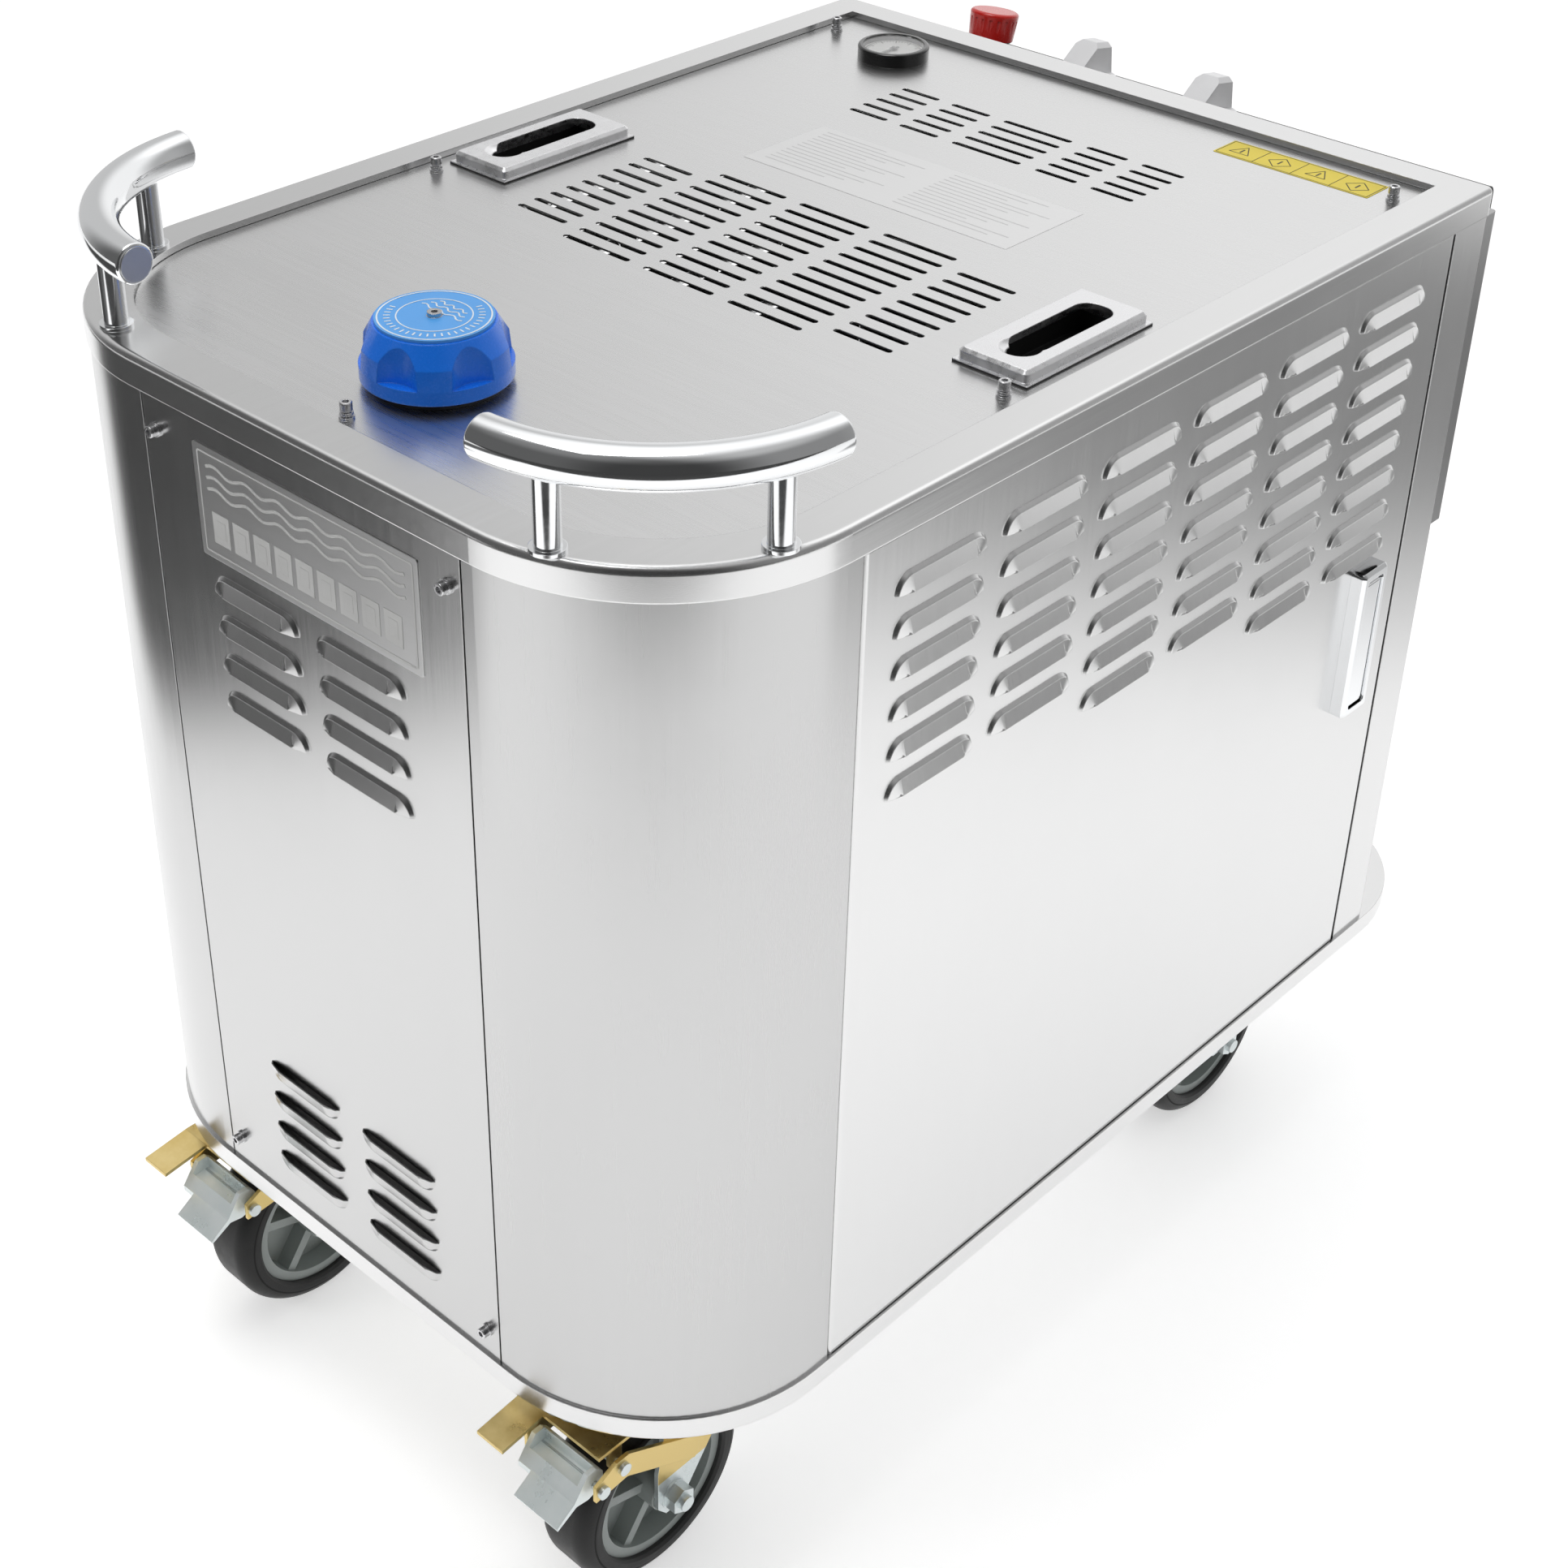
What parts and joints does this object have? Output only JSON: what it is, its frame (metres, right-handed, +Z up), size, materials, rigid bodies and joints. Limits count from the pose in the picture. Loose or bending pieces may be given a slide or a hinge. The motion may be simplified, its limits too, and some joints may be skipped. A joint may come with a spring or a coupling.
{
  "type": "mobile steam cleaner",
  "caption": "Upright stainless steam cleaner on swivel casters, with louvred service doors, a slotted lid, a screw filler cap, corner push handles and a rear control console.",
  "frame": {"origin": "on the floor, under the centre of the machine's bounding box", "axes": "+X the machine's right side, -Y its rounded front, +Z up"},
  "size_m": [0.64, 1, 0.9405],
  "materials": {
    "stainless": "fine brushed stainless sheet",
    "frame_steel": "satin grey paint",
    "chrome": "polished chrome",
    "cast_aluminium": "satin cast aluminium",
    "screw_steel": "turned steel",
    "zinc": "bright zinc plate",
    "yellow_zinc": "yellow passivated zinc",
    "hub_grey": "moulded grey nylon",
    "tyre": "black elastic rubber",
    "blue_plastic": "moulded blue plastic",
    "light_blue": "satin light blue label",
    "neck_plastic": "black moulding",
    "gasket": "soft rubber",
    "gauge_black": "gloss black bezel",
    "lens": "clear lens",
    "red_plastic": "red moulding",
    "stem_black": "black plastic",
    "collar_green": "teal ring",
    "knob_grey": "light grey moulding",
    "brass": "machined brass",
    "lever_red": "red dipped lever",
    "boiler_wrap": "foil clad insulation",
    "tank_white": "natural polyethylene",
    "pump_grey": "hammered grey paint",
    "board_box": "light grey enclosure"
  },
  "bodies": {
    "chassis": {"base_tray": "stainless", "inner_frame": "frame_steel", "top_rim": "stainless", "front_panel": "stainless", "corner_panel_left": "stainless", "corner_panel_right": "stainless", "rear_posts": "stainless", "rear_panel": "stainless", "rear_pan": "stainless", "caster_plates": "zinc", "door_hinges": "screw_steel", "lid_panel": "stainless", "lid_pull_left": "cast_aluminium", "lid_pull_right": "cast_aluminium", "cover_screws": "screw_steel", "gauge_case": "gauge_black", "gauge_lens": "lens", "filler_neck": "neck_plastic", "corner_handle_left": "chrome", "corner_handle_right": "chrome", "control_console": "neck_plastic", "estop_collar": "collar_green", "steam_outlets": "brass", "drain_valve": "brass", "power_inlet": "neck_plastic", "boiler": "boiler_wrap", "water_tank": "tank_white", "pump_unit": "pump_grey", "control_board": "board_box"},
    "door_right": {"door_right": "stainless", "latch_plate_right": "chrome"},
    "latch_right": {"latch_lever_right": "chrome"},
    "door_left": {"door_left": "stainless", "latch_plate_left": "chrome"},
    "latch_left": {"latch_lever_left": "chrome"},
    "cap_lift": {"cap_gasket": "gasket"},
    "cap": {"cap_shell": "blue_plastic", "cap_disc": "light_blue"},
    "gauge_pointer": {"gauge_needle": "gauge_black"},
    "stop_plunger": {"estop_plunger": "stem_black"},
    "stop_head": {"estop_head": "red_plastic"},
    "selector_1": {"selector_knob_1": "knob_grey"},
    "selector_2": {"selector_knob_2": "knob_grey"},
    "drain_handle": {"drain_lever": "lever_red"},
    "caster_front_right": {"fork_front_right": "zinc"},
    "wheel_front_right": {"hub_front_right": "hub_grey", "tyre_front_right": "tyre"},
    "lock_front_right": {"lock_lever_front_right": "yellow_zinc"},
    "release_front_right": {"release_lever_front_right": "zinc"},
    "caster_rear_right": {"fork_rear_right": "zinc"},
    "wheel_rear_right": {"hub_rear_right": "hub_grey", "tyre_rear_right": "tyre"},
    "caster_front_left": {"fork_front_left": "zinc"},
    "wheel_front_left": {"hub_front_left": "hub_grey", "tyre_front_left": "tyre"},
    "lock_front_left": {"lock_lever_front_left": "yellow_zinc"},
    "release_front_left": {"release_lever_front_left": "zinc"},
    "caster_rear_left": {"fork_rear_left": "zinc"},
    "wheel_rear_left": {"hub_rear_left": "hub_grey", "tyre_rear_left": "tyre"}
  },
  "joints": [
    {"name": "door_right_hinge", "type": "hinge", "parent": "chassis", "child": "door_right", "pos_m": [0.305, -0.3043, 0.526], "axis": [0, 0, -1], "range_deg": [0, 110]},
    {"name": "latch_right_lift", "type": "hinge", "parent": "door_right", "child": "latch_right", "pos_m": [0.315, 0.283, 0.583], "axis": [0, -1, 0], "range_deg": [0, 60]},
    {"name": "door_left_hinge", "type": "hinge", "parent": "chassis", "child": "door_left", "pos_m": [-0.305, -0.3043, 0.526], "axis": [0, 0, 1], "range_deg": [0, 110]},
    {"name": "latch_left_lift", "type": "hinge", "parent": "door_left", "child": "latch_left", "pos_m": [-0.315, 0.283, 0.583], "axis": [0, 1, 0], "range_deg": [0, 60]},
    {"name": "cap_rise", "type": "slide", "parent": "chassis", "child": "cap_lift", "axis": [0, 0, 1], "range_m": [0, 0.0121]},
    {"name": "cap_turn", "type": "hinge", "parent": "cap_lift", "child": "cap", "pos_m": [0, -0.354, 0.8885], "axis": [0, 0, 1], "range_deg": [0, 720]},
    {"name": "gauge_swing", "type": "hinge", "parent": "chassis", "child": "gauge_pointer", "pos_m": [-0.188, 0.3, 0.871], "axis": [0, 0, -1], "range_deg": [-20, 250], "stiffness_Nm_per_rad": 0.0004},
    {"name": "stop_press", "type": "slide", "parent": "chassis", "child": "stop_plunger", "axis": [0, -0.1736, -0.9848], "range_m": [0, 0.003]},
    {"name": "stop_twist", "type": "hinge", "parent": "stop_plunger", "child": "stop_head", "pos_m": [-0.2, 0.443, 0.84759], "axis": [0, 0.1736, 0.9848], "range_deg": [0, 40], "stiffness_Nm_per_rad": 0.05},
    {"name": "selector_1_turn", "type": "hinge", "parent": "chassis", "child": "selector_1", "pos_m": [-0.1, 0.443, 0.83259], "axis": [0, -0.1736, -0.9848], "range_deg": [0, 90]},
    {"name": "selector_2_turn", "type": "hinge", "parent": "chassis", "child": "selector_2", "pos_m": [0.02, 0.443, 0.83259], "axis": [0, -0.1736, -0.9848], "range_deg": [-50, 50]},
    {"name": "drain_turn", "type": "hinge", "parent": "chassis", "child": "drain_handle", "pos_m": [0.215, 0.403, 0.2855], "axis": [0, 0, -1], "range_deg": [0, 90]},
    {"name": "swivel_front_right", "type": "hinge", "parent": "chassis", "child": "caster_front_right", "pos_m": [0.207, -0.347, 0.17], "axis": [0, 0, 1], "continuous": true},
    {"name": "roll_front_right", "type": "hinge", "parent": "caster_front_right", "child": "wheel_front_right", "pos_m": [0.207, -0.392, 0.08], "axis": [1, 0, 0], "continuous": true},
    {"name": "lock_front_right_press", "type": "hinge", "parent": "caster_front_right", "child": "lock_front_right", "pos_m": [0.207, -0.444, 0.153], "axis": [1, 0, 0], "range_deg": [0, 8]},
    {"name": "release_front_right_press", "type": "hinge", "parent": "caster_front_right", "child": "release_front_right", "pos_m": [0.207, -0.464, 0.146], "axis": [1, 0, 0], "range_deg": [-4.05, 0.05]},
    {"name": "swivel_rear_right", "type": "hinge", "parent": "chassis", "child": "caster_rear_right", "pos_m": [0.207, 0.34, 0.17], "axis": [0, 0, 1], "continuous": true},
    {"name": "roll_rear_right", "type": "hinge", "parent": "caster_rear_right", "child": "wheel_rear_right", "pos_m": [0.207, 0.295, 0.08], "axis": [1, 0, 0], "continuous": true},
    {"name": "swivel_front_left", "type": "hinge", "parent": "chassis", "child": "caster_front_left", "pos_m": [-0.179, -0.347, 0.17], "axis": [0, 0, 1], "continuous": true},
    {"name": "roll_front_left", "type": "hinge", "parent": "caster_front_left", "child": "wheel_front_left", "pos_m": [-0.179, -0.392, 0.08], "axis": [1, 0, 0], "continuous": true},
    {"name": "lock_front_left_press", "type": "hinge", "parent": "caster_front_left", "child": "lock_front_left", "pos_m": [-0.179, -0.444, 0.153], "axis": [1, 0, 0], "range_deg": [0, 8]},
    {"name": "release_front_left_press", "type": "hinge", "parent": "caster_front_left", "child": "release_front_left", "pos_m": [-0.179, -0.464, 0.146], "axis": [1, 0, 0], "range_deg": [-4.05, 0.05]},
    {"name": "swivel_rear_left", "type": "hinge", "parent": "chassis", "child": "caster_rear_left", "pos_m": [-0.179, 0.34, 0.17], "axis": [0, 0, 1], "continuous": true},
    {"name": "roll_rear_left", "type": "hinge", "parent": "caster_rear_left", "child": "wheel_rear_left", "pos_m": [-0.179, 0.295, 0.08], "axis": [1, 0, 0], "continuous": true}
  ],
  "couplings": [
    {"joint": "cap_rise", "follows": "cap_turn", "m_per_rad": 0.00095493},
    {"joint": "release_front_right_press", "follows": "lock_front_right_press", "ratio": -0.5},
    {"joint": "release_front_left_press", "follows": "lock_front_left_press", "ratio": -0.5}
  ]
}
